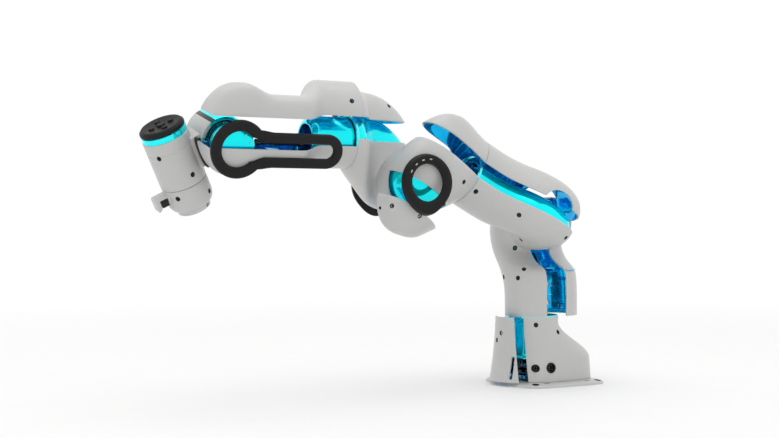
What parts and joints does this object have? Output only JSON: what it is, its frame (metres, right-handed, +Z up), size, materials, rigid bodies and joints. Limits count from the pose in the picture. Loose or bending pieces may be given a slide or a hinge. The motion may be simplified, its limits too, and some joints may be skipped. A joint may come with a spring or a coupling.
{
  "type": "collaborative robot arm",
  "caption": "Articulated robot arm on a flanged foot, its shells standing open over inner frames, with an offset forearm, tilting wrist, round tool flange and guiding keys.",
  "frame": {"origin": "centre of the foot plate's underside, on joint 1's axis", "axes": "+Z up along joint 1's axis, +X the way the arm reaches, +Y the arm's left"},
  "size_m": [0.9879, 0.2342, 0.6044],
  "materials": {
    "white_housing": "cast housing painted warm white, satin gloss",
    "white_cover": "moulded cover, warm white, satin gloss",
    "cyan_chassis": "thin inner frame with a bright cyan, mirror-like finish",
    "blue_actuator": "actuator housing with a bright blue, mirror-like finish",
    "dark_trim": "dark charcoal trim, fine satin texture",
    "steel_drive": "machined steel",
    "button_rubber": "dark rubber key"
  },
  "bodies": {
    "base": {"base_foot_plate": "white_housing", "base_rear_shell": "white_housing", "base_chassis": "cyan_chassis", "control_board": "dark_trim", "network_socket": "dark_trim", "power_socket": "dark_trim", "joint_1_motor": "blue_actuator"},
    "front_cover": {"base_front_cover": "white_cover"},
    "column": {"column_front_shell": "white_housing", "column_chassis": "cyan_chassis", "joint_1_output": "steel_drive", "joint_2_motor": "blue_actuator"},
    "column_cover": {"column_back_cover": "white_cover"},
    "upper_arm": {"upper_arm_front_shell": "white_housing", "upper_arm_chassis": "cyan_chassis", "joint_2_output": "steel_drive", "joint_3_motor": "blue_actuator"},
    "upper_arm_cover": {"upper_arm_back_shell": "white_cover"},
    "elbow_upper": {"elbow_upper_shell": "white_housing", "elbow_upper_chassis": "cyan_chassis", "elbow_left_ring": "dark_trim", "joint_3_output": "steel_drive", "joint_4_motor": "blue_actuator"},
    "elbow_back_cover": {"elbow_back_shell": "white_cover"},
    "elbow_lower_cover": {"elbow_under_cover": "white_cover"},
    "elbow_lower": {"elbow_lower_shell": "white_housing", "elbow_lower_chassis": "cyan_chassis", "elbow_right_ring": "dark_trim", "joint_4_output": "steel_drive", "joint_5_motor": "blue_actuator"},
    "elbow_top_cover": {"elbow_top_shell": "white_cover"},
    "forearm": {"forearm_lower_shell": "white_housing", "forearm_chassis": "cyan_chassis", "joint_5_output": "steel_drive", "joint_6_motor": "blue_actuator", "cable_conduit": "dark_trim", "forearm_side_trim": "dark_trim"},
    "forearm_cover": {"forearm_top_shell": "white_cover"},
    "wrist": {"wrist_body": "white_housing", "joint_6_output": "steel_drive", "joint_7_motor": "blue_actuator", "wrist_top_ring": "cyan_chassis", "wrist_left_trim": "dark_trim", "wrist_right_trim": "dark_trim", "pilot_cap": "dark_trim"},
    "pilot_up": {"pilot_button_up": "button_rubber"},
    "pilot_down": {"pilot_button_down": "button_rubber"},
    "pilot_left": {"pilot_button_left": "button_rubber"},
    "pilot_right": {"pilot_button_right": "button_rubber"},
    "pilot_centre": {"pilot_centre_button": "button_rubber"},
    "tool_mount": {"tool_mount_housing": "white_housing", "joint_7_output": "steel_drive", "tool_flange": "steel_drive"},
    "guide_left": {"guiding_button_left": "button_rubber"},
    "guide_right": {"guiding_button_right": "button_rubber"}
  },
  "joints": [
    {"name": "joint_1", "type": "hinge", "parent": "base", "child": "column", "pos_m": [0, 0, 0], "axis": [0, 0, 1], "range_deg": [-166, 166]},
    {"name": "joint_2", "type": "hinge", "parent": "column", "child": "upper_arm", "pos_m": [0, 0, 0.333], "axis": [0, 1, 0], "range_deg": [-72, 39.5]},
    {"name": "joint_3", "type": "hinge", "parent": "upper_arm", "child": "elbow_upper", "pos_m": [0, 0, 0.333], "axis": [0.8788, 0, 0.4772], "range_deg": [-166, 166]},
    {"name": "joint_4", "type": "hinge", "parent": "elbow_upper", "child": "elbow_lower", "pos_m": [0.31707, 0, 0.41128], "axis": [0, -1, 0], "range_deg": [-60, 24.5]},
    {"name": "joint_5", "type": "hinge", "parent": "elbow_lower", "child": "forearm", "pos_m": [0.31707, 0, 0.49378], "axis": [1, 0, 0], "range_deg": [-150, 182]},
    {"name": "joint_6", "type": "hinge", "parent": "forearm", "child": "wrist", "pos_m": [0.70707, 0, 0.49378], "axis": [0, -0.9613, 0.2756], "range_deg": [-67, 149]},
    {"name": "joint_7", "type": "hinge", "parent": "wrist", "child": "tool_mount", "pos_m": [0.78477, -0.01139, 0.45407], "axis": [0.4695, 0.2434, 0.8487], "range_deg": [-166, 166]},
    {"name": "base_front_cover_slide", "type": "slide", "parent": "base", "child": "front_cover", "axis": [1, 0, 0], "range_m": [-0.0235, 0]},
    {"name": "column_cover_slide", "type": "slide", "parent": "column", "child": "column_cover", "axis": [-1, 0, 0], "range_m": [-0.0495, 0]},
    {"name": "upper_arm_cover_slide", "type": "slide", "parent": "upper_arm", "child": "upper_arm_cover", "axis": [-0.4772, 0, 0.8788], "range_m": [-0.0335, 0]},
    {"name": "elbow_back_cover_slide", "type": "slide", "parent": "elbow_upper", "child": "elbow_back_cover", "axis": [-0.4772, 0, 0.8788], "range_m": [-0.0335, 0]},
    {"name": "elbow_under_cover_slide", "type": "slide", "parent": "elbow_upper", "child": "elbow_lower_cover", "axis": [0.4772, 0, -0.8788], "range_m": [-0.0495, 0]},
    {"name": "elbow_top_cover_slide", "type": "slide", "parent": "elbow_lower", "child": "elbow_top_cover", "axis": [0, 0, 1], "range_m": [-0.0415, 0]},
    {"name": "forearm_cover_slide", "type": "slide", "parent": "forearm", "child": "forearm_cover", "axis": [0, 0.2756, 0.9613], "range_m": [-0.0575, 0]},
    {"name": "pilot_up_press", "type": "slide", "parent": "wrist", "child": "pilot_up", "axis": [-0.4695, -0.2434, -0.8487], "range_m": [0, 0.002], "stiffness_N_per_m": 400, "springref_m": -0.0005},
    {"name": "pilot_down_press", "type": "slide", "parent": "wrist", "child": "pilot_down", "axis": [-0.4695, -0.2434, -0.8487], "range_m": [0, 0.002], "stiffness_N_per_m": 400, "springref_m": -0.0005},
    {"name": "pilot_left_press", "type": "slide", "parent": "wrist", "child": "pilot_left", "axis": [-0.4695, -0.2434, -0.8487], "range_m": [0, 0.002], "stiffness_N_per_m": 400, "springref_m": -0.0005},
    {"name": "pilot_right_press", "type": "slide", "parent": "wrist", "child": "pilot_right", "axis": [-0.4695, -0.2434, -0.8487], "range_m": [0, 0.002], "stiffness_N_per_m": 400, "springref_m": -0.0005},
    {"name": "pilot_centre_press", "type": "slide", "parent": "wrist", "child": "pilot_centre", "axis": [-0.4695, -0.2434, -0.8487], "range_m": [0, 0.002], "stiffness_N_per_m": 400, "springref_m": -0.0005},
    {"name": "guide_left_press", "type": "slide", "parent": "tool_mount", "child": "guide_left", "axis": [0, -0.9613, 0.2756], "range_m": [0, 0.0015], "stiffness_N_per_m": 400, "springref_m": -0.0005},
    {"name": "guide_right_press", "type": "slide", "parent": "tool_mount", "child": "guide_right", "axis": [0, 0.9613, -0.2756], "range_m": [0, 0.0015], "stiffness_N_per_m": 400, "springref_m": -0.0005}
  ]
}
